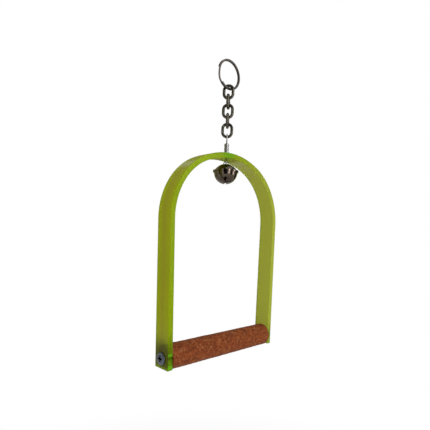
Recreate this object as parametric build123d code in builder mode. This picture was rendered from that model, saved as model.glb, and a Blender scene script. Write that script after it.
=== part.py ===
from build123d import *
import os
from math import acos, cos, degrees, radians, sin, sqrt, tan

# A swing for a cage bird. A strip of acrylic is bent into an arch, a grit-coated dowel is screwed
# between its legs as the perch, and a jingle bell hangs under the crown. A wire pin through the
# crown carries the arch, and a short chain with a split ring carries the pin.
# Millimetres, +Z up. The origin is where the cage's hook bears, on the split ring's inner top.
# X runs along the perch and Y across the strip, with the back at +Y.

# Clearances
hang_gap = 0.3  # between a chain link and the wire that it hangs on
bell_gap = 0.2  # between the bell's loop and the eye that it hangs on
seat_gap = 0.05  # between faces that rub, on pieces that turn on each other
fit_gap = 0.03  # round a shank, dowel, leg or rim that is pressed into its seat
hole_room = 0.25  # round a wire or shank that passes freely through a hole

# Split ring: two turns of flat wire, with a crossover between them
ring_diameter = 28.5
ring_wire_depth = 1.9
ring_wire_width = 0.75
ring_edge = 0.25
ring_turn_gap = 0.45
ring_crossover = 50.0
ring_crossover_bearing = 195.0  # from +X towards +Z
ring_end_angle = 6.0

# Chain links
link_count = 5
link_wire = 2.7
link_length = 14.8
link_side_room = 1.9
first_link_slew = 35.0
link_twist = 1.8

# Hanger pin and the ferrule crimped on it
pin_wire = 1.2
upper_eye_bore = 6.2
lower_eye_bore = 1.4
eye_bend = 1.5
eye_end_gap = 0.15
ferrule_diameter = 4.4
ferrule_length = 10.0
ferrule_edge = 0.4
crimp_count = 2
crimp_depth = 0.2
crimp_width = 1.6

# Bent strip: the crown is an arc of larger radius between two shoulders, and the legs close in downwards
strip_width = 16.4
strip_thickness = 4.8
strip_edge = 0.5
arch_height = 180.0
arch_span = 119.0
leg_lean = 1.8
crown_flat = 21.0
crown_half_angle = 26.0

# Perch: a dowel with a coat of grit, its axis a little above the leg ends
perch_diameter = 20.0
dowel_diameter = 15.0
perch_edge_distance = 8.0

# Pan-head screws
head_diameter = 10.0
head_height = 1.5
head_round = 1.0
shank_diameter = 4.2
screw_length = 25.0
screw_tip = 1.4
recess_span = 5.2
recess_width = 1.6
recess_depth = 1.1
recess_taper = 12.0

# Jingle bell: two pressed shells, the upper rim folded round the lower one
bell_diameter = 21.4
bell_wall = 0.6
dome_height = 6.8
bowl_straight = 1.2
flange_width = 0.45
lip_reach = 0.35
lip_thickness = 0.5
rim_round = 0.4
slot_width = 1.4
slot_hole = 2.8
slot_angle = 55.0
bell_loop_wire = 0.9
bell_loop_width = 3.6
bell_foot = 2.0
pellet_diameter = 4.8

# The stack from the ring down, as heights below the hanging point
ring_width = 2 * ring_wire_width + ring_turn_gap
ring_radius = (ring_diameter - ring_wire_depth) / 2
ring_floor = 2 * ring_wire_depth - ring_diameter
ring_centre = ring_floor / 2

link_hole_width = ring_width + 2 * link_side_room
link_hole_length = link_length - 2 * link_wire
link_bow = (link_hole_width + link_wire) / 2
bow_corner = ring_width / 2 / cos(radians(first_link_slew))
bow_drop = link_hole_width / 2 - sqrt((link_hole_width / 2) ** 2 - bow_corner**2)
link_pitch = link_hole_length - hang_gap
first_link_z = ring_floor + bow_drop + hang_gap - link_hole_length / 2
last_link_z = first_link_z - (link_count - 1) * link_pitch

upper_eye = (upper_eye_bore + pin_wire) / 2
lower_eye = (lower_eye_bore + pin_wire) / 2
upper_eye_rise = sqrt(upper_eye**2 + 2 * upper_eye * eye_bend)
lower_eye_rise = sqrt(lower_eye**2 + 2 * lower_eye * eye_bend)
upper_eye_z = last_link_z - link_hole_length / 2 + hang_gap - upper_eye_bore / 2
ferrule_top = upper_eye_z - upper_eye_rise
crown_top = ferrule_top - ferrule_length - seat_gap
crown_under = crown_top - strip_thickness
lower_eye_z = crown_under - seat_gap - lower_eye - pin_wire / 2
leg_end_z = crown_top - arch_height
perch_z = leg_end_z + perch_edge_distance

bell_loop_top = lower_eye_z - lower_eye_bore / 2 + bell_gap
bell_top = bell_loop_top - pin_wire - 2 * bell_gap
seam_z = bell_top - dome_height
bell_radius = bell_diameter / 2
bowl_z = seam_z - bowl_straight


def turned(angle, z):
    """An upright plane through the Z axis, turned from X by an angle, with its own Y pointing up."""
    across = Vector(cos(radians(angle)), sin(radians(angle)), 0)
    return Plane(origin=(0, 0, z), x_dir=across, z_dir=across.cross(Vector(0, 0, 1)))


def finish(piece, name):
    """Names a piece and writes it."""
    piece.part.label = name
    export_step(piece.part, f"parts/{name}.step")


os.makedirs("parts", exist_ok=True)

# The chain's planes: each link hangs about a quarter turn on from the one above it
link_turns = [90 + first_link_slew + k * (90 + link_twist) for k in range(link_count + 1)]
pin_turn = link_turns.pop()


# Split ring
def ring_point(angle, turn):
    """A point on the wire's middle line: angle on from the crossover, and turn is -1 in front, 1 behind."""
    bearing = radians(ring_crossover_bearing + angle)
    y = turn * (ring_wire_width + ring_turn_gap) / 2
    return Vector(ring_radius * cos(bearing), y, ring_centre + ring_radius * sin(bearing))


def ring_direction(angle):
    """The way along the turn at an angle on from the crossover."""
    bearing = radians(ring_crossover_bearing + angle)
    return Vector(-sin(bearing), 0, cos(bearing))


def biarc_middle(start, end, start_direction, end_direction):
    """Where two arcs meet that leave start and reach end along the given directions."""
    chord = end - start
    spread = 2 * (1 - start_direction.dot(end_direction))
    along = chord.dot(start_direction + end_direction)
    reach = (sqrt(along**2 + spread * chord.dot(chord)) - along) / spread
    return (start + end + (start_direction - end_direction) * reach) / 2


half_crossover = ring_crossover / 2
front_start = half_crossover + ring_end_angle
front_end = 360 - half_crossover
back_end = 360 - half_crossover - ring_end_angle
with BuildPart() as hanging_ring:
    with BuildLine() as ring_path:
        for turn, first, last in ((-1, front_start, front_end), (1, half_crossover, back_end)):
            middle = (first + last) / 2
            for low, high in ((first, middle), (middle, last)):
                halfway = ring_point((low + high) / 2, turn)
                ThreePointArc(ring_point(low, turn), halfway, ring_point(high, turn))
        leave = ring_point(-half_crossover, -1)
        arrive = ring_point(half_crossover, 1)
        leave_way = ring_direction(-half_crossover)
        meet = biarc_middle(leave, arrive, leave_way, ring_direction(half_crossover))
        climb = TangentArc(leave, meet, tangent=leave_way)
        TangentArc(meet, arrive, tangent=climb % 1)
    ring_start = Plane(ring_point(front_start, -1), x_dir=(0, 1, 0), z_dir=ring_direction(front_start))
    with BuildSketch(ring_start):
        RectangleRounded(ring_wire_width, ring_wire_depth, ring_edge)
    sweep(path=ring_path.wire())
finish(hanging_ring, "hanging_ring")

# The least gap between the ring's turns, measured on points of the wire's middle line
ring_samples = 240
ring_points = ring_path.wire().positions([k / ring_samples for k in range(ring_samples + 1)])
half_turn = ring_samples // 4
spacing = min((a - b).length for k, a in enumerate(ring_points) for b in ring_points[k + half_turn:])
print(f"least gap between the ring's turns: {spacing - ring_wire_width:.2f} mm")

# Chain links
for number, angle in enumerate(link_turns, start=1):
    with BuildPart() as link:
        with BuildLine(turned(angle, first_link_z - (number - 1) * link_pitch)) as link_path:
            straight = link_hole_length / 2 - link_hole_width / 2
            Line((link_bow, -straight), (link_bow, straight))
            CenterArc((0, straight), link_bow, 0, 180)
            Line((-link_bow, straight), (-link_bow, -straight))
            CenterArc((0, -straight), link_bow, 180, 180)
        with BuildSketch(Plane(link_path.wire() @ 0, z_dir=link_path.wire() % 0)):
            Circle(link_wire / 2)
        sweep(path=link_path.wire())
    finish(link, f"chain_link_{number}")


# Hanger pin: one wire with an eye bent at each end
def eye_arcs(centre, radius, rise, up):
    """An eye and the bend that leads to it; up is 1 for an eye above the stem, -1 for one below."""
    reach = radius + eye_bend
    clear = eye_bend + pin_wire + eye_end_gap
    bend_size = degrees(acos(eye_bend / reach))
    open_size = degrees(acos((radius**2 + reach**2 - clear**2) / (2 * radius * reach)))
    CenterArc((eye_bend, centre - up * rise), eye_bend, 180, -up * bend_size)
    CenterArc((0, centre), radius, -up * bend_size, up * (360 - open_size))


with BuildPart() as hanger_pin:
    with BuildLine(turned(pin_turn, 0)) as pin_path:
        Line((0, ferrule_top), (0, lower_eye_z + lower_eye_rise))
        eye_arcs(upper_eye_z, upper_eye, upper_eye_rise, 1)
        eye_arcs(lower_eye_z, lower_eye, lower_eye_rise, -1)
    with BuildSketch(Plane(pin_path.wire() @ 0, z_dir=pin_path.wire() % 0)):
        Circle(pin_wire / 2)
    sweep(path=pin_path.wire())
finish(hanger_pin, "hanger_pin")

# Stop ferrule: a sleeve with crimped bands
with BuildPart() as stop_ferrule:
    with BuildSketch(Plane.XY.offset(crown_top + seat_gap)):
        Circle(ferrule_diameter / 2)
        Circle(pin_wire / 2 + fit_gap, mode=Mode.SUBTRACT)
    extrude(amount=ferrule_length)
    outer_rims = stop_ferrule.edges().filter_by(GeomType.CIRCLE).group_by(SortBy.RADIUS)[-1]
    chamfer(outer_rims, ferrule_edge)
    for number in range(1, crimp_count + 1):
        band_middle = crown_top + seat_gap + ferrule_length * number / (crimp_count + 1)
        with BuildSketch(Plane.XY.offset(band_middle - crimp_width / 2)):
            Circle(ferrule_diameter)
            Circle(ferrule_diameter / 2 - crimp_depth, mode=Mode.SUBTRACT)
        extrude(amount=crimp_width, mode=Mode.SUBTRACT)
finish(stop_ferrule, "stop_ferrule")

# Arch: the strip's section swept along its middle line
lean = radians(leg_lean)
crown_half = radians(crown_half_angle)
half_strip = strip_thickness / 2
foot_drop = perch_edge_distance - half_strip * sin(lean)
leg_foot = arch_span / 2 + half_strip * cos(lean) - foot_drop * tan(lean)
shoulder_reach = leg_foot - crown_flat * sin(crown_half)
shoulder_rise = arch_height - half_strip - crown_flat * (1 - cos(crown_half))
shoulder_radius = (shoulder_reach * cos(lean) + shoulder_rise * sin(lean)) / (1 + sin(lean))
crown_radius = shoulder_radius + crown_flat
crown_centre = crown_top - half_strip - crown_radius
shoulder_x = crown_flat * sin(crown_half)
shoulder_z = crown_centre + crown_flat * cos(crown_half)
leg_top_x = shoulder_x + shoulder_radius * cos(lean)
leg_top_z = shoulder_z - shoulder_radius * sin(lean)
shoulder_sweep = 90 - crown_half_angle + leg_lean


def leg_plane(side, depth):
    """A plane across a leg at the perch's axis, at a depth from its inner face; side is -1 or 1."""
    outwards = Vector(side * cos(lean), 0, -sin(lean))
    foot = Vector(side * arch_span / 2, 0, perch_z)
    return Plane(foot + outwards * depth, x_dir=(0, 1, 0), z_dir=outwards)


with BuildPart() as arch:
    with BuildLine(Plane.XZ) as strip_path:
        Line((-leg_foot, leg_end_z), (-leg_top_x, leg_top_z))
        CenterArc((-shoulder_x, shoulder_z), shoulder_radius, 180 + leg_lean, -shoulder_sweep)
        CenterArc((0, crown_centre), crown_radius, 90 + crown_half_angle, -2 * crown_half_angle)
        CenterArc((shoulder_x, shoulder_z), shoulder_radius, 90 - crown_half_angle, -shoulder_sweep)
        Line((leg_top_x, leg_top_z), (leg_foot, leg_end_z))
    with BuildSketch(Plane(strip_path.wire() @ 0, x_dir=(0, 1, 0), z_dir=strip_path.wire() % 0)):
        RectangleRounded(strip_width, strip_thickness, strip_edge)
    sweep(path=strip_path.wire())
    with BuildSketch(Plane.XY.offset(crown_top)):
        Circle(pin_wire / 2 + hole_room)
    extrude(amount=2 * strip_thickness, both=True, mode=Mode.SUBTRACT)
    for side in (-1, 1):
        with BuildSketch(leg_plane(side, half_strip)):
            Circle(shank_diameter / 2 + hole_room)
        extrude(amount=strip_thickness, both=True, mode=Mode.SUBTRACT)
finish(arch, "arch")

# Perch: dowel and grit coat, both cut to the slope of the legs
perch_stock = arch_span / 2 + perch_diameter * tan(lean)
dowel_plane = Plane(origin=(0, 0, perch_z), x_dir=(0, 1, 0), z_dir=(1, 0, 0))
with BuildPart() as perch_core:
    with BuildSketch(dowel_plane):
        Circle(dowel_diameter / 2)
    extrude(amount=perch_stock, both=True)
    for side in (-1, 1):
        split(bisect_by=leg_plane(side, 0), keep=Keep.BOTTOM)
        with BuildSketch(leg_plane(side, 0)):
            Circle(shank_diameter / 2 + fit_gap)
        extrude(amount=strip_thickness - screw_length - hang_gap, mode=Mode.SUBTRACT)
finish(perch_core, "perch_core")

with BuildPart() as perch_sleeve:
    with BuildSketch(dowel_plane):
        Circle(perch_diameter / 2)
        Circle(dowel_diameter / 2 + fit_gap, mode=Mode.SUBTRACT)
    extrude(amount=perch_stock, both=True)
    for side in (-1, 1):
        split(bisect_by=leg_plane(side, 0), keep=Keep.BOTTOM)
finish(perch_sleeve, "perch_sleeve")

# Screws: the head sits on the leg's outer face, and the shank ends in the dowel
for side, name in ((-1, "screw_left"), (1, "screw_right")):
    face = leg_plane(side, strip_thickness)
    with BuildPart() as screw:
        with BuildSketch(face):
            Circle(head_diameter / 2)
        extrude(amount=head_height)
        head_top = screw.faces().sort_by(Axis(face.origin, face.z_dir))[-1]
        fillet(head_top.edges(), head_round)
        with BuildSketch(face):
            Circle(shank_diameter / 2)
        extrude(amount=-screw_length)
        tip = screw.faces().sort_by(Axis(face.origin, face.z_dir))[0]
        chamfer(tip.edges(), screw_tip)
        with BuildSketch(face.offset(head_height)):
            Rectangle(recess_span, recess_width)
            Rectangle(recess_width, recess_span)
        extrude(amount=-recess_depth, taper=recess_taper, mode=Mode.SUBTRACT)
    finish(screw, name)

# Bell: profiles are drawn on an upright plane through its axis, with the height counted from the seam
bell_plane = turned(pin_turn, seam_z)
cavity_radius = bell_radius - bell_wall
dome_radius = (bell_radius**2 + dome_height**2) / (2 * dome_height)
dome_centre = dome_height - dome_radius
flange_radius = bell_radius + flange_width
rim_radius = flange_radius + fit_gap + bell_wall
lip_top = -bell_wall - fit_gap
lip_bottom = lip_top - lip_thickness
lip_radius = flange_radius - lip_reach


def dome_width(radius, height):
    """How wide the dome's sphere of a radius is at a height above the seam."""
    return sqrt(radius**2 - (height - dome_centre) ** 2)


inner_dome = dome_radius - bell_wall
with BuildPart() as bell_upper_shell:
    with BuildSketch(bell_plane) as upper_profile:
        with BuildLine():
            shoulder = (dome_width(dome_radius, bell_wall), bell_wall)
            waist = (dome_width(dome_radius, dome_height / 2), dome_height / 2)
            ThreePointArc((0, dome_height), waist, shoulder)
            Polyline(shoulder, (rim_radius, bell_wall), (rim_radius, lip_bottom), (lip_radius, lip_bottom),
                     (lip_radius, lip_top), (flange_radius + fit_gap, lip_top), (flange_radius + fit_gap, 0),
                     (dome_width(inner_dome, 0), 0))
            inner_waist = (dome_width(inner_dome, dome_height / 2), dome_height / 2)
            ThreePointArc((dome_width(inner_dome, 0), 0), inner_waist, (0, dome_height - bell_wall))
            Line((0, dome_height - bell_wall), (0, dome_height))
        make_face()
        rim_corners = upper_profile.vertices().group_by(Axis((0, 0, 0), bell_plane.x_dir))[-1]
        fillet(rim_corners, rim_round)
    revolve(axis=Axis((0, 0, 0), (0, 0, 1)))
    loop_leg = (bell_loop_width + bell_loop_wire) / 2
    with BuildSketch(Plane(origin=(0, 0, bell_top), x_dir=turned(pin_turn + 90, 0).x_dir, z_dir=(0, 0, 1))):
        with Locations((-loop_leg, 0), (loop_leg, 0)):
            Circle(bell_loop_wire / 2 + fit_gap)
    extrude(amount=-dome_height, mode=Mode.SUBTRACT)
finish(bell_upper_shell, "bell_upper_shell")

with BuildPart() as bell_lower_shell:
    with BuildSketch(bell_plane):
        with BuildLine():
            Polyline((cavity_radius, -bowl_straight), (cavity_radius, 0), (flange_radius, 0),
                     (flange_radius, -bell_wall), (bell_radius, -bell_wall), (bell_radius, -bowl_straight))
            CenterArc((0, -bowl_straight), bell_radius, 0, -90)
            Line((0, -bowl_straight - bell_radius), (0, -bowl_straight - cavity_radius))
            CenterArc((0, -bowl_straight), cavity_radius, -90, 90)
        make_face()
    revolve(axis=Axis((0, 0, 0), (0, 0, 1)))
    slot_reach = bell_radius * sin(radians(slot_angle))
    for quarter_turn in (0, 90):
        across = turned(pin_turn + quarter_turn, 0).x_dir
        with BuildSketch(Plane(origin=(0, 0, bowl_z), x_dir=across, z_dir=(0, 0, 1))):
            Rectangle(2 * slot_reach, slot_width)
        extrude(amount=-bell_diameter, mode=Mode.SUBTRACT)
        for end in (-1, 1):
            outwards = across * (end * sin(radians(slot_angle))) - Vector(0, 0, cos(radians(slot_angle)))
            with BuildSketch(Plane(origin=(0, 0, bowl_z), z_dir=outwards)):
                Circle(slot_hole / 2)
            extrude(amount=bell_diameter, mode=Mode.SUBTRACT)
finish(bell_lower_shell, "bell_lower_shell")

# Bell loop: a wire staple whose feet are clinched outwards under the dome
foot_bend = bell_loop_wire
foot_tip = loop_leg + foot_bend + bell_foot
foot_z = seam_z + dome_centre + sqrt(inner_dome**2 - foot_tip**2) - bell_loop_wire / 2 - fit_gap
bow_z = bell_loop_top - bell_loop_width / 2
with BuildPart() as bell_loop:
    with BuildLine(turned(pin_turn + 90, 0)) as loop_path:
        Line((-foot_tip, foot_z), (-loop_leg - foot_bend, foot_z))
        CenterArc((-loop_leg - foot_bend, foot_z + foot_bend), foot_bend, -90, 90)
        Line((-loop_leg, foot_z + foot_bend), (-loop_leg, bow_z))
        CenterArc((0, bow_z), loop_leg, 180, -180)
        Line((loop_leg, bow_z), (loop_leg, foot_z + foot_bend))
        CenterArc((loop_leg + foot_bend, foot_z + foot_bend), foot_bend, 180, 90)
        Line((loop_leg + foot_bend, foot_z), (foot_tip, foot_z))
    with BuildSketch(Plane(loop_path.wire() @ 0, z_dir=loop_path.wire() % 0)):
        Circle(bell_loop_wire / 2)
    sweep(path=loop_path.wire())
finish(bell_loop, "bell_loop")

# Pellet: a ball at the bottom of the bowl
pellet_z = bowl_z - cavity_radius + pellet_diameter / 2 + hang_gap
with BuildPart() as bell_pellet:
    with BuildSketch(turned(pin_turn, pellet_z)):
        with BuildLine():
            Line((0, -pellet_diameter / 2), (0, pellet_diameter / 2))
            CenterArc((0, 0), pellet_diameter / 2, 90, -180)
        make_face()
    revolve(axis=Axis((0, 0, 0), (0, 0, 1)))
finish(bell_pellet, "bell_pellet")

print(f"crown {crown_top:.2f}, perch {perch_z:.2f}, leg ends {leg_end_z:.2f}, bell seam {seam_z:.2f}")
print(f"shoulder radius {shoulder_radius:.2f}, crown radius {crown_radius:.2f}")
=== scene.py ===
# %% [markdown]
# # A bird swing in Blender
# A strip of lime acrylic is bent into an arch, with a gritty perch between its legs, a jingle bell
# under its crown and a short chain with a split ring above it. The solid model is already packed, so
# this lesson loads it as a fixed frame, gives each piece its finish, and rebuilds only the pieces
# that a plain solid can't show: the grit on the perch, the grain of the dowel and the screws' threads.

# %% Load the frame
from math import cos, pi, radians, sin, tan

import bmesh
import bpy
from mathutils import Matrix, Vector, noise


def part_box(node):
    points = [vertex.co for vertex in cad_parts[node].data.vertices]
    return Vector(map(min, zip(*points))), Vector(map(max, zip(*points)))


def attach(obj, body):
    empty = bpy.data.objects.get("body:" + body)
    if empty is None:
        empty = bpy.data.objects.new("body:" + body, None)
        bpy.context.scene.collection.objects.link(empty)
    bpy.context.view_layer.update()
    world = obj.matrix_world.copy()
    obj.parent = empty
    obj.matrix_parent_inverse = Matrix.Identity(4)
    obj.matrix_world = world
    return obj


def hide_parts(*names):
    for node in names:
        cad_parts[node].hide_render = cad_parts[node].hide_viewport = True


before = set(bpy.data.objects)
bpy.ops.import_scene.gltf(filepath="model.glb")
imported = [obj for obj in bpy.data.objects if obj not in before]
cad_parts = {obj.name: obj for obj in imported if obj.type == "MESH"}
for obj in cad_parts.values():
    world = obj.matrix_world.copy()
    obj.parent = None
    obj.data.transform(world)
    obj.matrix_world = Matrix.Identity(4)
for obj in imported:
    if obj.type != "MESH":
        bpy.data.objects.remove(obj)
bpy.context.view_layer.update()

# %% [markdown]
# ## Camera
# The photograph was taken from the left front, a little below the crown and close by, so the near leg
# looks larger than the far one. A pinhole camera was fitted to the outline of the arch and the perch.
# It could be aimed with a constraint, but three turns in a row are easier to read: the heading, the
# tilt up, and the small roll of a camera held by hand.

# %% Camera
IMAGE_SIDE = 430
FOCAL_PIXELS = 377.2
SENSOR = 36.0
STAND = (-0.24741, -0.24031, -0.16280)
HEADING, TILT, ROLL = 44.45, 3.12, 2.15
NEAREST, FARTHEST = 0.01, 50.0
camera = bpy.data.objects.new("camera", bpy.data.cameras.new("camera"))
bpy.context.scene.collection.objects.link(camera)
camera.data.sensor_width = SENSOR
camera.data.lens = SENSOR * FOCAL_PIXELS / IMAGE_SIDE
camera.data.clip_start, camera.data.clip_end = NEAREST, FARTHEST
turn = Matrix.Rotation(radians(-HEADING), 4, "Z") @ Matrix.Rotation(radians(90 + TILT), 4, "X")
turn = turn @ Matrix.Rotation(radians(ROLL), 4, "Z")
camera.matrix_world = Matrix.Translation(STAND) @ turn
bpy.context.scene.camera = camera
bpy.context.scene.view_settings.view_transform = "Standard"
print(f"camera: {camera.data.lens:.1f} mm lens")

# %% [markdown]
# ## Sums on shader sockets
# A finish is a sum of patterns. In the node editor each sum is a Math node with two wires, which is
# slow to read as code. This class wraps one socket, so that `1 - mask * 0.5` adds the nodes by itself.
# Colours and vectors go through their own nodes, because a Math node would turn a colour grey.


# %% A socket that can be added and multiplied
class Tone:
    """An output socket of a node tree, on which sums can be written."""

    def __init__(self, tree, socket=None):
        self.tree = tree
        self.socket = socket

    def node(self, kind, settings, inputs, output=0):
        """Adds a node: its settings first, then values or links on its sockets. Gives one output."""
        made = self.tree.nodes.new(kind)
        for name, value in settings.items():
            if name == "stops":
                ramp = made.color_ramp.elements
                while len(ramp) < len(value):
                    ramp.new(1.0)
                for element, (position, shade) in zip(ramp, value):
                    element.position = position
                    element.color = shade
            else:
                setattr(made, name, value)
        for name, value in inputs.items():
            if isinstance(value, Tone):
                self.tree.links.new(value.socket, made.inputs[name])
            else:
                made.inputs[name].default_value = value
        return Tone(self.tree, made.outputs[output] if made.outputs else None)

    def math(self, operation, first, second=0.0):
        """A Math node on one or two values."""
        return self.node("ShaderNodeMath", {"operation": operation}, {0: first, 1: second})

    def __add__(self, other):
        return self.math("ADD", self, other)

    def __radd__(self, other):
        return self.math("ADD", other, self)

    def __sub__(self, other):
        return self.math("SUBTRACT", self, other)

    def __rsub__(self, other):
        return self.math("SUBTRACT", other, self)

    def __mul__(self, other):
        return self.math("MULTIPLY", self, other)

    def __rmul__(self, other):
        return self.math("MULTIPLY", other, self)

    def __truediv__(self, other):
        return self.math("DIVIDE", self, other)

    def __rtruediv__(self, other):
        return self.math("DIVIDE", other, self)

    def __abs__(self):
        return self.math("ABSOLUTE", self)

    def step(self, low, high):
        """0 up to low, 1 from high on, and smooth between them. With low above high it falls."""
        ends = {"Value": self, "From Min": low, "From Max": high}
        return self.node("ShaderNodeMapRange", {"interpolation_type": "SMOOTHSTEP"}, ends)

    def band(self, low, rise, fall, high):
        """1 from rise to fall, 0 below low and above high, and smooth between them."""
        return self.step(low, rise) * self.step(high, fall)

    def ramp(self, *stops):
        """A colour for each value, from stops of position and colour."""
        return self.node("ShaderNodeValToRGB", {"stops": stops}, {"Fac": self})

    def mix(self, first, second):
        """The first colour where this is 0 and the second where it is 1."""
        return self.node("ShaderNodeMix", {"data_type": "RGBA"}, {0: self, 6: first, 7: second}, 2)

    def grey(self):
        """How bright a colour is."""
        return self.node("ShaderNodeRGBToBW", {}, {0: self})

    def split(self):
        """The three parts of a vector."""
        return [self.node("ShaderNodeSeparateXYZ", {}, {0: self}, part) for part in range(3)]

    def join(self, x, y, z):
        """A vector from three parts."""
        return self.node("ShaderNodeCombineXYZ", {}, {0: x, 1: y, 2: z})

    def length(self):
        """How long a vector is."""
        return self.node("ShaderNodeVectorMath", {"operation": "LENGTH"}, {0: self}, 1)

    def stretch(self, x, y, z):
        """A vector with each of its parts multiplied."""
        return self.node("ShaderNodeVectorMath", {"operation": "MULTIPLY"}, {0: self, 1: (x, y, z)})

    def cloud(self, scale, detail=2.0, roughness=0.5):
        """Soft noise from 0 to 1 at this place."""
        inputs = {"Vector": self, "Scale": scale, "Detail": detail, "Roughness": roughness}
        return self.node("ShaderNodeTexNoise", {}, inputs)

    def cells(self, scale, output="Distance"):
        """Voronoi cells at this place."""
        return self.node("ShaderNodeTexVoronoi", {}, {"Vector": self, "Scale": scale}, output)


# %% [markdown]
# ## Colours and finishes
# Colours are written from 0 to 255, as a picture shows them, and turned into the light that Blender
# counts with. A finish starts from one tone, and masks lay coats of other tones over it, much as a
# painter glazes. Each finish is a function from a place to the sockets that vary there. What is one
# number all over goes straight onto the shader's socket.

# %% Colours and finishes
OPAQUE = 1.0
finishes = {}


def flat(red, green, blue):
    """A colour from 0 to 255 as the light that Blender counts with, for a socket."""
    parts = [value / 255 for value in (red, green, blue)]
    light = [part / 12.92 if part <= 0.04045 else ((part + 0.055) / 1.055) ** 2.4 for part in parts]
    return (*light, OPAQUE)


def layer(tone, *coats):
    """A tone with coats over it. Each coat is a mask, its strength and its colour from 0 to 255."""
    for mask, strength, shade in coats:
        tone = (mask * strength).mix(tone, flat(*shade))
    return tone


def finish(name, recipe, bump=0.0, **fixed):
    """Makes a material. The recipe gives what varies, and fixed holds the sockets that are one number."""
    material = bpy.data.materials.new(name)
    material.use_nodes = True
    shader = material.node_tree.nodes["Principled BSDF"]
    start = Tone(material.node_tree)
    place = start.node("ShaderNodeTexCoord", {}, {}, "Object")
    for socket, value in recipe(place).items():
        if socket == "Height":
            value = start.node("ShaderNodeBump", {}, {"Height": value, "Distance": bump})
            socket = "Normal"
        material.node_tree.links.new(value.socket, shader.inputs[socket])
    for socket, value in fixed.items():
        shader.inputs[socket.replace("_", " ")].default_value = value
    finishes[name] = material
    print("finish:", name, len(material.node_tree.nodes), "nodes")


def wear(name, *nodes):
    """Puts a finish on nodes of the frame."""
    for node in nodes:
        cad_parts[node].data.materials.clear()
        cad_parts[node].data.materials.append(finishes[name])


print("colours: a grey of 128 counts as", round(flat(128, 128, 128)[0], 3), "of white light")

# %% [markdown]
# ## Light and floor
# The photograph is cut out on white. The world is white for rays that come from the camera, a
# reflection or a clear piece, and dimmer for the rest, so the background stays white without more
# light on the swing. Two tall soft lamps stand to the right of the camera like the panes of a window:
# they light the front of the perch, leave its rims darker, and show in the bell as two bright bars.
# The floor lies well below the swing, as under a cage, and keeps its shadow.

# %% World
AMBIENT = 0.62
WHITE = (1.0, 1.0, 1.0, OPAQUE)
SEEN_RAYS = ("Is Camera Ray", "Is Glossy Ray", "Is Transmission Ray")
world = bpy.data.worlds.new("white_room")
bpy.context.scene.world = world
world.use_nodes = True


def seen_ray(tone):
    """1 for rays from the camera, a reflection or a clear piece, and 0 for the rest."""
    camera_ray, glossy_ray, clear_ray = [tone.node("ShaderNodeLightPath", {}, {}, ray) for ray in SEEN_RAYS]
    return tone.math("MINIMUM", camera_ray + glossy_ray + clear_ray, 1.0)


backdrop = world.node_tree.nodes["Background"]
backdrop.inputs["Color"].default_value = WHITE
strength = AMBIENT + (1 - AMBIENT) * seen_ray(Tone(world.node_tree))
world.node_tree.links.new(strength.socket, backdrop.inputs["Strength"])
print("world:", AMBIENT, "of white lights the swing")

# %% Lamps
MIDDLE = Vector((0.0, 0.0, -0.17))
PANE_REACH = 1.0
PANE_CLIMB = 15
PANE_HEIGHT = 0.95
PANE_WATTS = 2.8


def round_swing(bearing, climb, reach):
    """A place at a bearing from +X, a climb above the level and a reach from the swing's middle."""
    heading, lift = radians(bearing), radians(climb)
    level = reach * cos(lift)
    return MIDDLE + Vector((level * cos(heading), level * sin(heading), reach * sin(lift)))


def face_swing(thing):
    """Turns a lamp or a card towards the swing's middle."""
    thing.rotation_euler = (MIDDLE - thing.location).to_track_quat("-Z", "Y").to_euler()


def pane(name, bearing, width):
    """A tall soft lamp that faces the swing."""
    made = bpy.data.objects.new(name, bpy.data.lights.new(name, "AREA"))
    bpy.context.scene.collection.objects.link(made)
    made.data.shape = "RECTANGLE"
    made.data.size, made.data.size_y = width, PANE_HEIGHT
    made.data.energy = PANE_WATTS
    made.location = round_swing(bearing, PANE_CLIMB, PANE_REACH)
    face_swing(made)
    print("lamp:", name, PANE_WATTS, "watts")


pane("near_pane", bearing=258, width=0.16)
pane("far_pane", bearing=308, width=0.19)

# %% Floor
FLOOR_Z = -0.57
FLOOR_RADIUS = 4.0
FLOOR_GREY = (0.86, 0.86, 0.86, OPAQUE)
SHADOW_REACH = (0.25, 0.6)
SHADOW_GLOW = 0.7
strip_low, strip_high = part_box("arch")
leg_end = strip_low.z
bpy.ops.mesh.primitive_circle_add(vertices=96, radius=FLOOR_RADIUS, fill_type="TRIFAN",
                                  location=(0.0, 0.0, FLOOR_Z))
floor = bpy.context.object
floor.name = "floor"
pale = bpy.data.materials.new("pale_floor")
pale.use_nodes = True
pale.node_tree.nodes.clear()
ground = Tone(pale.node_tree)
from_swing = ground.node("ShaderNodeTexCoord", {}, {}, "Object").length()
matt = ground.node("ShaderNodeBsdfDiffuse", {}, {"Color": FLOOR_GREY})
glow = ground.node("ShaderNodeEmission", {}, {"Color": WHITE})
white_share = seen_ray(ground) * (SHADOW_GLOW + (1 - SHADOW_GLOW) * from_swing.step(*SHADOW_REACH))
lit = ground.node("ShaderNodeMixShader", {}, {0: white_share, 1: matt, 2: glow})
ground.node("ShaderNodeOutputMaterial", {}, {"Surface": lit})
floor.data.materials.append(pale)
print("floor:", round(leg_end - FLOOR_Z, 3), "m under the leg ends")

# %% [markdown]
# ## Cards
# Polished metal shows what stands round it, and in an all-white room it looks flat. A photographer
# sets dark cards beside the lamps to draw dark bands on it. These do the same: only reflections see
# them, so they cast no shadow and the background stays white. The cards behind and to the left are
# olive, moss and straw, because black ones would show as soot on the glossy strip.

# %% Cards
CARD_REACH = 1.1
BLACK, OLIVE = (0.03, 0.028, 0.025), (0.2, 0.2, 0.06)
MOSS, STRAW = (0.36, 0.38, 0.1), (0.5, 0.5, 0.28)


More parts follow.
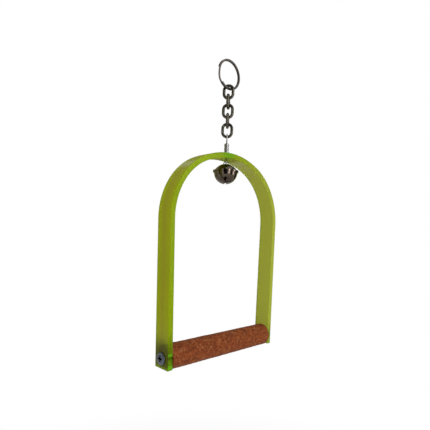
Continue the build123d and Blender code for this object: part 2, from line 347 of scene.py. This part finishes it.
def card(name, bearing, climb, width, height, shade):
    """A card of one shade that only reflections see."""
    felt = bpy.data.materials.new(name)
    felt.use_nodes = True
    felt.node_tree.nodes.clear()
    tone = Tone(felt.node_tree)
    dim = tone.node("ShaderNodeEmission", {}, {"Color": (*shade, OPAQUE)})
    tone.node("ShaderNodeOutputMaterial", {}, {"Surface": dim})
    bpy.ops.mesh.primitive_plane_add(size=1.0, location=round_swing(bearing, climb, CARD_REACH))
    made = bpy.context.object
    made.name = name
    made.scale = (width, height, 1.0)
    face_swing(made)
    made.data.materials.append(felt)
    made.visible_camera = made.visible_diffuse = made.visible_shadow = False
    made.visible_transmission = made.visible_volume_scatter = False
    print("card:", name)


card("card_camera", bearing=222, climb=10, width=0.75, height=2.2, shade=BLACK)
card("card_window", bearing=283, climb=10, width=0.32, height=2.2, shade=BLACK)
card("card_right", bearing=350, climb=10, width=0.7, height=2.0, shade=BLACK)
card("card_left", bearing=168, climb=10, width=0.8, height=2.0, shade=OLIVE)
card("card_back", bearing=48, climb=0, width=1.3, height=1.7, shade=MOSS)
card("card_far", bearing=112, climb=10, width=1.25, height=1.9, shade=STRAW)

# %% [markdown]
# ## Lime acrylic
# The arch is cast acrylic, dyed lime, cut as a strip and bent hot. White light loses its blue on the way
# through, so the broad faces look olive, while the cut edges pipe light and look greener, most of all
# round the crown's hole and in bands at the leg ends. It could be painted as an opaque green, but then
# the perch wouldn't show through the legs. Fully clear, it would turn as pale as the background. So it
# is mixed: a little under half of the light passes, the rest is scattered, and the dye colours both.
# The glow at the hole and the leg ends is painted into the colour and the emission, and so are painted
# shade at the crown, round the perch and above the near leg's end, and painted light on the far leg.

# %% Places on the strip
core_low, core_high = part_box("perch_core")
PERCH_Z = (core_low.z + core_high.z) / 2
LEAN = radians(1.8)
STRIP_HALF = strip_high.y
CROWN_TOP = strip_high.z
# A reach in metres runs from where its mask is 0 to where it is 1.
HOLE_REACH = (0.011, 0.003)
# The painted glow round the hole is skewed, towards -x on the front edge and +x on the back.
HOLE_SKEW, HOLE_SPREAD = 0.55, 0.4
CROWN_REACH = (0.05, 0.015)
NEAR_LEG, FAR_LEG = (0.045, -0.01), (0.0, 0.055)
PERCH_REACH = (0.017, 0.008)
OUTER_FACE = (-0.05, 0.05)
# A rise is a reach in height over the leg ends, and a band is a stretch there with soft borders.
# At the leg ends these place painted shade, a painted glow and painted light in bands.
FOOT_RISE, FACE_GLOW_RISE, EDGE_GLOW_RISE = (0.003, 0.001), (0.0024, 0.0008), (0.0102, 0.0066)
LOW_RISE, END_SHADE_RISE = (0.022, 0.002), (0.033, 0.016)
LOW_BAND, HIGH_BAND = (0.0002, 0.0012, 0.003, 0.005), (0.0104, 0.0112, 0.0124, 0.0132)
DARK_BAND = (0.0078, 0.0088, 0.0098, 0.0106)
print(f"strip: {2000 * STRIP_HALF:.1f} mm wide, with the perch {1000 * (PERCH_Z - leg_end):.1f} mm up")

# %% Faces and edges of the strip
FACE_LIGHT, FACE_DEEP = (172, 180, 26), (164, 172, 30)
# A stripe along the middle of the faces, and painted light that makes the far leg paler.
FACE_STRIPE, FACE_FAR_LIT = (162, 150, 52), (184, 190, 78)
RIM_LIGHT, RIM_DEEP = (160, 184, 14), (152, 176, 16)
# The crown's edges get painted shade and the hole's edges a painted glow.
RIM_CROWN_SHADE, RIM_HOLE_GLOW, RIM_LOW = (132, 158, 8), (106, 158, 0), (120, 176, 6)
# A painted glow round the hole, and the glow of the edges in the emission.
HOLE_GLOW, PIPED_LIGHT = (112, 168, 2), (30, 66, 0)
# At the leg ends: painted shade, then a painted glow on the faces and one on the edges.
END_SHADE, END_FACE_GLOW, END_EDGE_GLOW = (84, 104, 6), (164, 188, 40), (118, 158, 22)
# Painted light in bands on the edges, with painted shade between them.
BAND_LIT, BAND_GAP_SHADE = (126, 204, 24), (52, 104, 0)
# Painted shade round the perch on the outer faces, standing for shade and for the dark perch end seen
# through.
PERCH_SHADE = (67, 59, 0)


def strip_face(x, y, drift):
    """The broad faces: olive, browner along the middle, and paler towards the right leg with painted light.
    """
    face = drift.mix(flat(*FACE_LIGHT), flat(*FACE_DEEP))
    middle = (abs(y) / STRIP_HALF).step(0.6, 0.05)
    return layer(face, (middle, 0.6, FACE_STRIPE), (x.step(*FAR_LEG), 0.7, FACE_FAR_LIT))


def strip_rim(x, rise, drift, hole_glow):
    """The cut edges: green, with painted shade deeper near the crown, a painted glow at its hole, and
    greener towards the leg ends.
    """
    rim = drift.mix(flat(*RIM_LIGHT), flat(*RIM_DEEP))
    crown = abs(x).step(*CROWN_REACH)
    low = rise.step(*LOW_RISE)
    return layer(rim, (crown, 0.55, RIM_CROWN_SHADE), (hole_glow, 0.85, RIM_HOLE_GLOW), (low, 0.5, RIM_LOW))


print("strip: olive faces", FACE_LIGHT, "and green edges", RIM_LIGHT)

# %% Lime acrylic
DRIFT = 28.0
SCRATCHES, SAW_MARKS = (900, 900, 40), (30, 30, 1400)


def lime_acrylic(place):
    """The strip: its faces and edges, the painted glow at the hole and the leg ends, painted shade,
    scratches and saw marks.
    """
    x, y, z = place.split()
    rise = z - leg_end
    sideways, across, up = place.node("ShaderNodeTexCoord", {}, {}, "Normal").split()
    foot = (0 - up).step(0.6, 0.95) * rise.step(*FOOT_RISE)
    edge = place.math("MAXIMUM", abs(across).step(0.55, 0.9), foot)
    near = x.step(*NEAR_LEG)
    piped = edge * (0.25 + 0.75 * near)
    from_hole = place.join(x - HOLE_SKEW * y, HOLE_SPREAD * y, z - CROWN_TOP).length()
    hole_glow = from_hole.step(*HOLE_REACH)
    by_perch = place.join(0.0, y, z - PERCH_Z).length().step(*PERCH_REACH)
    outer = (sideways * x).step(*OUTER_FACE)
    bands = rise.band(*LOW_BAND) + rise.band(*HIGH_BAND)
    drift = place.cloud(DRIFT)
    body = piped.mix(strip_face(x, y, drift), strip_rim(x, rise, drift, hole_glow))
    body = layer(body,
                 # A painted glow round the crown's hole.
                 (hole_glow, 0.6, HOLE_GLOW),
                 # Painted shade on the near leg above its end.
                 (rise.step(*END_SHADE_RISE) * near, 0.3 + 0.2 * edge, END_SHADE),
                 # Painted shade round the perch on the outer faces.
                 (by_perch * outer, 0.6, PERCH_SHADE),
                 # A painted glow on the faces just above the leg ends, and one on the edges.
                 (rise.step(*FACE_GLOW_RISE) * (1 - edge), 0.85, END_FACE_GLOW),
                 (rise.step(*EDGE_GLOW_RISE) * piped, 0.5, END_EDGE_GLOW),
                 # Painted light in bands on the edges, with painted shade between them.
                 (bands * piped, 0.8, BAND_LIT),
                 (rise.band(*DARK_BAND) * edge, 0.6, BAND_GAP_SHADE))
    scratch = place.stretch(*SCRATCHES).cloud(1.0).step(0.66, 0.72)
    saw = place.stretch(*SAW_MARKS).cloud(1.0)
    rough = 0.14 + 0.1 * scratch + edge * (0.06 + 0.1 * saw)
    # Painted glow in the emission on the near leg's edges, strongest at the hole.
    light = (edge * near * (0.15 + 0.85 * hole_glow)).mix(flat(0, 0, 0), flat(*PIPED_LIGHT))
    height = scratch * (1 - edge) * 0.3 + saw * edge
    return {"Base Color": body, "Roughness": rough, "Emission Color": light, "Height": height}


finish("lime_acrylic", lime_acrylic, bump=0.00004, Transmission_Weight=0.45, IOR=1.25,
       Emission_Strength=1.0, Specular_Tint=(0.5, 0.55, 0.15, OPAQUE), Specular_IOR_Level=0.15)
wear("lime_acrylic", "arch")

# %% [markdown]
# ## Metals
# Six small metals wear in their own ways. The split ring is flat spring wire with drawing lines along
# its turns. The chain is plated wire, darker and duller at the weld on each link. The pin and the bell's
# loop are bright wire, the ferrule is soft alloy, the screws are zinc with a blue cast and painted shade
# in the middle of their heads and in their recess, and the bell is pressed nickel plate with painted
# shade in patches on its lower half. One recipe with different numbers would make them all look alike,
# so each adds its own marks to a shared base of fine grain and smudges.

# %% Shared metal surface
SMUDGES = 160.0
FINE_GRAIN, SOFT_GRAIN = 2400.0, 1500.0
METAL_RELIEF = 0.000008
WIRE_RELIEF = 0.000006
BELL_RELIEF = 0.000005


def metal(place, light, dark, shine, grain=FINE_GRAIN, haze=0.14):
    """Two tones, roughness and fine relief of a plated surface."""
    smudge = place.cloud(SMUDGES, 4.0, 0.6)
    speck = place.cloud(grain)
    tone = (smudge * 0.8 + speck * 0.2).step(0.25, 0.8).mix(flat(*dark), flat(*light))
    rough = shine + haze * smudge + 0.06 * speck
    return {"Base Color": tone, "Roughness": rough, "Height": speck}


print(f"metals: smudges of {1000 / SMUDGES:.1f} mm over a grain of {1000 / FINE_GRAIN:.1f} mm")

# %% Split ring
ring_low, ring_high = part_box("hanging_ring")
RING_CENTRE_Z = (ring_low.z + ring_high.z) / 2
DRAWN_LINES = 5000


def ring_steel(place):
    """Dark spring wire, with drawing lines that follow its turns."""
    x, y, z = place.split()
    radius = place.join(x, z - RING_CENTRE_Z, 0.0).length()
    made = metal(place, light=(70, 66, 63), dark=(52, 46, 42), shine=0.12)
    made["Height"] = place.join(radius * DRAWN_LINES, y * DRAWN_LINES, 0.0).cloud(1.0)
    return made


finish("ring_steel", ring_steel, bump=WIRE_RELIEF, Metallic=1.0)
wear("ring_steel", "hanging_ring")

# %% Chain
LINKS = [f"chain_link_{number}" for number in range(1, 6)]
link_middles = [sum(corner.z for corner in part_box(link)) / 2 for link in LINKS]
LINK_STEP = (link_middles[0] - link_middles[-1]) / (len(LINKS) - 1)
WELD = (44, 38, 36)


def chain_steel(place):
    """Plated wire, with a dull dark weld halfway down one side of each link."""
    x, y, z = place.split()
    links = (z - link_middles[0]) / LINK_STEP
    from_middle = abs(links - place.math("ROUND", links))
    weld = from_middle.step(0.1, 0.05) * (x + y).step(0.0, 0.001)
    made = metal(place, light=(106, 102, 94), dark=(62, 58, 50), shine=0.14)
    made["Base Color"] = layer(made["Base Color"], (weld, 0.7, WELD))
    made["Roughness"] = made["Roughness"] + 0.3 * weld
    return made


finish("chain_steel", chain_steel, bump=METAL_RELIEF, Metallic=1.0)
wear("chain_steel", *LINKS)


# %% Pin, loop and ferrule
def wire_steel(place):
    """Bright drawn wire."""
    return metal(place, light=(206, 204, 200), dark=(150, 148, 146), shine=0.14)


def ferrule_alloy(place):
    """Soft grey alloy with a coarser grain."""
    return metal(place, light=(166, 163, 164), dark=(140, 138, 137), shine=0.22, grain=SOFT_GRAIN)


finish("wire_steel", wire_steel, bump=WIRE_RELIEF, Metallic=1.0)
finish("ferrule_alloy", ferrule_alloy, bump=METAL_RELIEF, Metallic=1.0)
wear("wire_steel", "hanger_pin", "bell_loop")
wear("ferrule_alloy", "stop_ferrule")

# %% Bell
bell_low, bell_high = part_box("bell_lower_shell")
# Painted shade, in patches, darkens the bell towards its bottom.
BELL_SHADE_REACH = (bell_high.z - 0.002, bell_low.z + 0.004)
BELL_SHADE = (58, 50, 42)
BELL_SHADE_PATCHES = 260.0


def bell_nickel(place):
    """Polished plate, with painted shade in patches towards the bottom."""
    _, _, z = place.split()
    made = metal(place, light=(116, 104, 95), dark=(80, 71, 62), shine=0.05, haze=0.08)
    patches = 0.4 + 0.5 * place.cloud(BELL_SHADE_PATCHES, 3.0)
    made["Base Color"] = layer(made["Base Color"], (z.step(*BELL_SHADE_REACH), patches, BELL_SHADE))
    return made


finish("bell_nickel", bell_nickel, bump=BELL_RELIEF, Metallic=1.0)
wear("bell_nickel", "bell_upper_shell", "bell_lower_shell", "bell_pellet")

# %% Screws' finish
screw_low, screw_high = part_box("screw_right")
HEAD_RADIUS = (screw_high.z - screw_low.z) / 2
HEAD_FACE = screw_high.x - HEAD_RADIUS * sin(LEAN)
RECESS_RADIUS = 0.6 * HEAD_RADIUS
RECESS_DEPTH = (0.0001, 0.0004)
# Painted shade in the middle of the head, and darker painted shade in the recess.
HEAD_SHADE, RECESS_SHADE = (56, 59, 66), (18, 18, 26)


def screw_steel(place):
    """Zinc plate, with painted shade in the middle of the head and darker painted shade below its face in
    the recess.
    """
    x, y, z = place.split()
    from_axis = place.join(0.0, y, z - PERCH_Z).length()
    outwards = abs(x) - (z - PERCH_Z) * tan(LEAN)
    below_face = (HEAD_FACE - outwards).step(*RECESS_DEPTH)
    shaded_recess = below_face * from_axis.step(RECESS_RADIUS, 0.9 * RECESS_RADIUS)
    middle = from_axis.step(0.9 * HEAD_RADIUS, 0.5 * HEAD_RADIUS)
    made = metal(place, light=(104, 111, 120), dark=(78, 84, 93), shine=0.18)
    # Painted shade in the head's middle and in its recess.
    made["Base Color"] = layer(made["Base Color"], (middle, 0.45, HEAD_SHADE), (shaded_recess, 0.9, RECESS_SHADE))
    made["Roughness"] = made["Roughness"] + 0.4 * shaded_recess
    return made


finish("screw_steel", screw_steel, bump=METAL_RELIEF, Metallic=1.0)

# %% [markdown]
# ## Perch
# The perch is a wooden dowel under a coat of mineral grit, which keeps a bird's claws short. The coat
# could be a bump map, but its outline would stay a smooth tube. So the tube is a fine grid, and each of
# its points is pushed in between clumps of grit: a clump is a cell round a scattered seed, domed in its
# middle. Two numbers stay on each point, the clump's own tone and how high it stands, and the colours
# read them. The single grains, under a millimetre, are smaller cells in the finish.

# %% Shape of the grit
sleeve_low, sleeve_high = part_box("perch_sleeve")
COAT_RADIUS = (sleeve_high.z - sleeve_low.z) / 2
CLUMP = 0.0019
COAT_DEPTH = 0.0004
GROOVE, DOME = 0.45, 0.8


def grit(point):
    """The tone and the height, 0 to 1, of the coat at a point on its tube."""
    away, seeds = noise.voronoi(point / CLUMP)
    tone = min(1.0, abs(noise.cell(seeds[0] * 3.1)))
    edge = min(1.0, (away[1] - away[0]) / GROOVE)
    dome = max(0.0, 1.0 - away[0] / DOME)
    lump = 0.5 + 0.5 * noise.noise(point / (4 * CLUMP))
    height = 0.35 * edge + 0.35 * dome * (0.3 + 0.7 * tone) + 0.5 * lump
    return tone, min(1.0, height)


print(f"grit: clumps of {1000 * CLUMP} mm, {1000 * COAT_DEPTH} mm deep")

# %% Grit coat
DOWEL_RADIUS = (core_high.z - core_low.z) / 2
HALF_SPAN = core_high.x - DOWEL_RADIUS * tan(LEAN)
END_ROOM = 0.00004
BORE_RADIUS = DOWEL_RADIUS + END_ROOM
AROUND, ALONG = 180, 340


def on_tube(share, angle, radius):
    """A place on a tube round the perch's axis, with share from -1 at the left leg to 1 at the right."""
    height = radius * sin(angle)
    end = HALF_SPAN + height * tan(LEAN) - END_ROOM
    return share * end, radius * cos(angle), PERCH_Z + height


def grit_tube():
    """The coat's points, grains and faces, in rings over the outside and back through the bore."""
    outside = [(2 * i / ALONG - 1, False) for i in range(ALONG + 1)]
    rings = [(-1.0, True), *outside, (1.0, True)]
    points, grains, faces = [], [], []
    for share, in_bore in rings:
        for j in range(AROUND):
            angle = 2 * pi * j / AROUND
            across, up = COAT_RADIUS * cos(angle), COAT_RADIUS * sin(angle)
            tone, height = grit(Vector((share * HALF_SPAN, across, up)))
            radius = BORE_RADIUS if in_bore else COAT_RADIUS - COAT_DEPTH * (1 - height)
            points.append(on_tube(share, angle, radius))
            grains.append((tone, height))
    for i in range(len(rings)):
        near, far = i * AROUND, (i + 1) % len(rings) * AROUND
        for j in range(AROUND):
            k = (j + 1) % AROUND
            faces.append((near + j, far + j, far + k, near + k))
    return points, grains, faces


points, grains, faces = grit_tube()
coat_mesh = bpy.data.meshes.new("perch_coat")
coat_mesh.from_pydata(points, [], faces)
coat_mesh.update()
for column, label in enumerate(("grain_tone", "grain_height")):
    values = coat_mesh.attributes.new(label, "FLOAT", "POINT")
    values.data.foreach_set("value", [grain[column] for grain in grains])
for polygon in coat_mesh.polygons:
    polygon.use_smooth = True
coat = bpy.data.objects.new("perch_coat", coat_mesh)
bpy.context.scene.collection.objects.link(coat)
print("coat:", len(coat_mesh.polygons), "faces")

# %% Grit finish
GRAINS, BLOTCHES, PATCHES, DUST = 1300.0, 420.0, 120.0, 5200.0
STONES = ((0.05, (94, 41, 8)), (0.4, (128, 61, 20)), (0.65, (146, 75, 29)),
          (0.85, (154, 91, 47)), (1.0, (162, 119, 86)))
# Red patches, and painted shade under the perch.
RED_PATCH, UNDERSIDE_SHADE = (128, 54, 20), (92, 66, 50)
# Painted shade in the gaps between grains and between clumps.
GRAIN_GAP_SHADE, CLUMP_GAP_SHADE = (84, 40, 20), (84, 40, 22)
UNDERSIDE = (PERCH_Z - 0.5 * COAT_RADIUS, PERCH_Z - 0.95 * COAT_RADIUS)


def perch_grit(place):
    """Grains of five browns, with red patches, painted shade underneath and painted shade in the gaps
    between them.
    """
    _, _, z = place.split()
    tone = place.node("ShaderNodeAttribute", {"attribute_name": "grain_tone"}, {}, "Fac")
    height = place.node("ShaderNodeAttribute", {"attribute_name": "grain_height"}, {}, "Fac")
    grain = place.cells(GRAINS, "Color").grey()
    dome = 1 - place.cells(GRAINS)
    blotch = place.cloud(BLOTCHES, 3.0)
    pick = 0.45 * grain + 0.2 * tone + 2.0 * (blotch - 0.42)
    stones = pick.ramp(*[(position, flat(*shade)) for position, shade in STONES])
    stones = layer(stones,
                   (place.cloud(PATCHES, 3.0).step(0.35, 0.7), 0.35, RED_PATCH),
                   # Painted shade under the perch.
                   (z.step(*UNDERSIDE), 0.4, UNDERSIDE_SHADE),
                   # Painted shade in the gaps.
                   (dome.step(0.45, 0.2), 0.55, GRAIN_GAP_SHADE),
                   (height.step(0.45, 0.15), 0.5, CLUMP_GAP_SHADE))
    dust = place.cloud(DUST)
    return {"Base Color": stones, "Roughness": 0.82 + 0.14 * dust, "Height": dome + 0.25 * dust}


finish("perch_grit", perch_grit, bump=0.0003, Specular_IOR_Level=0.25)
coat_mesh.materials.append(finishes["perch_grit"])
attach(coat, "swing")
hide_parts("perch_sleeve")

# %% [markdown]
# ## Dowel
# Only the dowel's ends can be seen, through the clear legs, as dark discs round the screws. The solid's
# ends touch the legs exactly, and two faces in one place flicker, so the dowel here is a copy that is
# a hair shorter. Its rings run round the tree's pith, a little off the dowel's own axis, and its pores
# run along it.

# %% Dowel
PITH_Y, PITH_Z = 0.003, 0.002
RING_WAVES = 5200
WOBBLE = 0.0012
SWAYS, PORES = (8, 160, 160), (60, 2600, 2600)
EARLY_WOOD, LATE_WOOD, PORE = (126, 84, 46), (92, 56, 28), (60, 36, 18)


def dowel_wood(place):
    """Growth rings round the pith, with dark pores along the dowel."""
    _, y, z = place.split()
    wobble = place.stretch(*SWAYS).cloud(1.0)
    from_pith = place.join(y - PITH_Y, z - PERCH_Z - PITH_Z, 0.0).length() + wobble * WOBBLE
    growth = place.math("SINE", from_pith * RING_WAVES) * 0.5 + 0.5
    pores = place.stretch(*PORES).cloud(1.0)
    wood = growth.mix(flat(*EARLY_WOOD), flat(*LATE_WOOD))
    wood = layer(wood, (pores.step(0.58, 0.7), 0.6, PORE))
    return {"Base Color": wood, "Roughness": 0.6 + 0.2 * pores, "Height": pores}


finish("dowel_wood", dowel_wood, bump=0.00005)
dowel = bpy.data.objects.new("perch_dowel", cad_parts["perch_core"].data.copy())
bpy.context.scene.collection.objects.link(dowel)
dowel.data.transform(Matrix.Diagonal((1 - END_ROOM / HALF_SPAN, 1.0, 1.0, 1.0)))
dowel.data.materials.clear()
dowel.data.materials.append(finishes["dowel_wood"])
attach(dowel, "swing")
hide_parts("perch_core")
print("dowel:", round(dowel.dimensions.x * 1000, 2), "mm long")

# %% [markdown]
# ## Screws
# A pan-head screw with a cross recess holds each end of the perch. The solid has the head and a plain
# shank. Through the clear leg the thread shows, so each screw keeps a copy of the solid's head, cut off
# at its seat, and gets a new shank: a grid whose points stand out where the thread passes.

# %% Screw shapes
LEG_THICKNESS = 0.0048
SCREW_LENGTH = 0.025
NECK, RUN_OUT, POINT = 0.0012, 0.001, 0.004
THREAD_PITCH = 0.0018
RIDGE_SHARE, BLUNT_SHARE = 0.24, 0.12
ROOT_RADIUS, CREST_RADIUS = 0.00155, 0.00208
THREAD_ROUND, THREAD_STEPS = 36, 200
SAME_PLACE = 0.000002


def thread_radius(depth, angle):
    """The shank's radius at a depth under the head: plain at first, then threaded, then a point."""
    phase = (depth / THREAD_PITCH - angle / (2 * pi)) % 1.0
    ridge = max(0.0, 1 - abs(phase - 0.5) / RIDGE_SHARE)
    rise = min(1.0, max(0.0, (depth - NECK) / RUN_OUT))
    taper = min(1.0, (SCREW_LENGTH - depth) / POINT + BLUNT_SHARE)
    return (ROOT_RADIUS + (CREST_RADIUS - ROOT_RADIUS) * ridge * rise) * taper


def cut_head(name, seat, outwards):
    """The solid screw's head, cut off at its seat and closed there."""
    head = bmesh.new()
    head.from_mesh(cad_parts[name].data)
    bmesh.ops.remove_doubles(head, verts=head.verts[:], dist=SAME_PLACE)
    solid = head.verts[:] + head.edges[:] + head.faces[:]
    just_over = seat + outwards * SAME_PLACE
    cut = bmesh.ops.bisect_plane(head, geom=solid, plane_co=just_over, plane_no=outwards, clear_inner=True)
    rim = [item for item in cut["geom_cut"] if isinstance(item, bmesh.types.BMEdge)]
    bmesh.ops.edgeloop_fill(head, edges=rim)
    return head


def add_shank(screw, seat, outwards):
    """A threaded shank from the seat inwards, closed at both ends."""
    upright = Vector((0.0, 1.0, 0.0))
    third = outwards.cross(upright)
    rows = []
    for i in range(THREAD_STEPS + 1):
        depth = SCREW_LENGTH * i / THREAD_STEPS
        row = []
        for j in range(THREAD_ROUND):
            angle = 2 * pi * j / THREAD_ROUND
            away = (upright * cos(angle) + third * sin(angle)) * thread_radius(depth, angle)
            row.append(screw.verts.new(seat - outwards * depth + away))
        rows.append(row)
    for near, far in zip(rows, rows[1:]):
        for j in range(THREAD_ROUND):
            k = (j + 1) % THREAD_ROUND
            screw.faces.new((near[j], near[k], far[k], far[j]))
    screw.faces.new(rows[-1])
    screw.faces.new(rows[0][::-1])


print("thread:", round((SCREW_LENGTH - NECK) / THREAD_PITCH, 1), "turns")

# %% Screws
SHARP = radians(35)


def threaded_screw(name, side):
    """A screw with the solid's head and a threaded shank, on the leg at that side."""
    outwards = Vector((side * cos(LEAN), 0.0, -sin(LEAN)))
    seat = Vector((side * HALF_SPAN, 0.0, PERCH_Z)) + outwards * LEG_THICKNESS
    screw = cut_head(name, seat, outwards)
    add_shank(screw, seat, outwards)
    bmesh.ops.recalc_face_normals(screw, faces=screw.faces[:])
    for face in screw.faces:
        face.smooth = True
    for edge in screw.edges:
        edge.smooth = not edge.is_manifold or edge.calc_face_angle(0.0) < SHARP
    mesh = bpy.data.meshes.new(f"{name}_threaded")
    screw.to_mesh(mesh)
    screw.free()
    made = bpy.data.objects.new(f"{name}_threaded", mesh)
    bpy.context.scene.collection.objects.link(made)
    mesh.materials.append(finishes["screw_steel"])
    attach(made, "swing")
    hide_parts(name)
    print("screw:", name, len(mesh.polygons), "faces")


threaded_screw("screw_left", -1)
threaded_screw("screw_right", 1)
